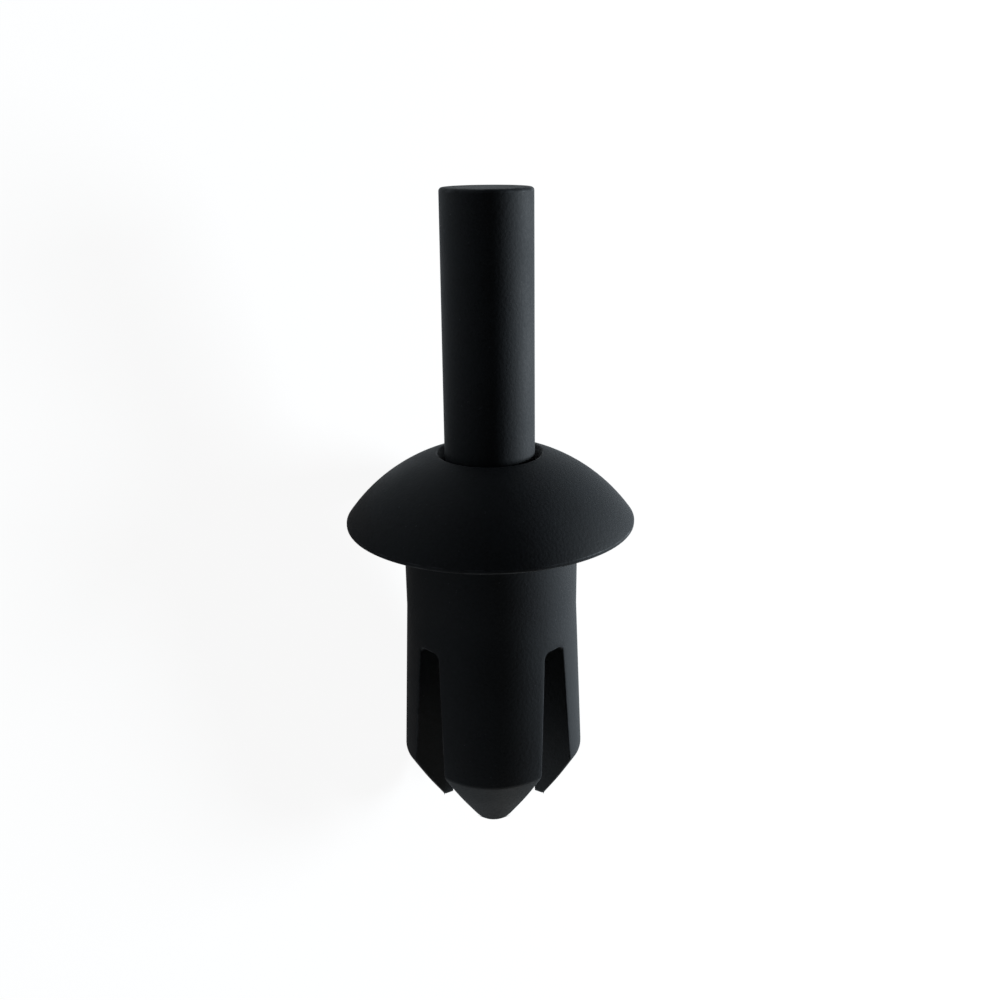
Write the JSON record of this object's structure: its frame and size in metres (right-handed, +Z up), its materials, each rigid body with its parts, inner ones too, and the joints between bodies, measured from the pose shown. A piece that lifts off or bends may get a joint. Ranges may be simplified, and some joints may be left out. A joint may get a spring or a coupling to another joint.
{
  "type": "plastic push rivet",
  "caption": "Black nylon push rivet with a domed head, a hollow slotted shank that ends in bevelled legs, and a raised round pin that is driven in to spread the legs.",
  "frame": {"origin": "on the surface the rivet lies on, under the middle of its bounding box", "axes": "+Z up; the rivet lies on its side with its axis in the XZ plane, the pin towards +X and sloping up, the slotted legs towards -X"},
  "size_m": [0.0232, 0.0104, 0.0102],
  "materials": {
    "black_nylon": "fine moulded satin"
  },
  "bodies": {
    "rivet": {"rivet_body": "black_nylon"},
    "pin": {"drive_pin": "black_nylon"}
  },
  "joints": [
    {"name": "pin_drive", "type": "slide", "parent": "rivet", "child": "pin", "axis": [-0.9805, 0, -0.1965], "range_m": [0, 0.009]}
  ]
}
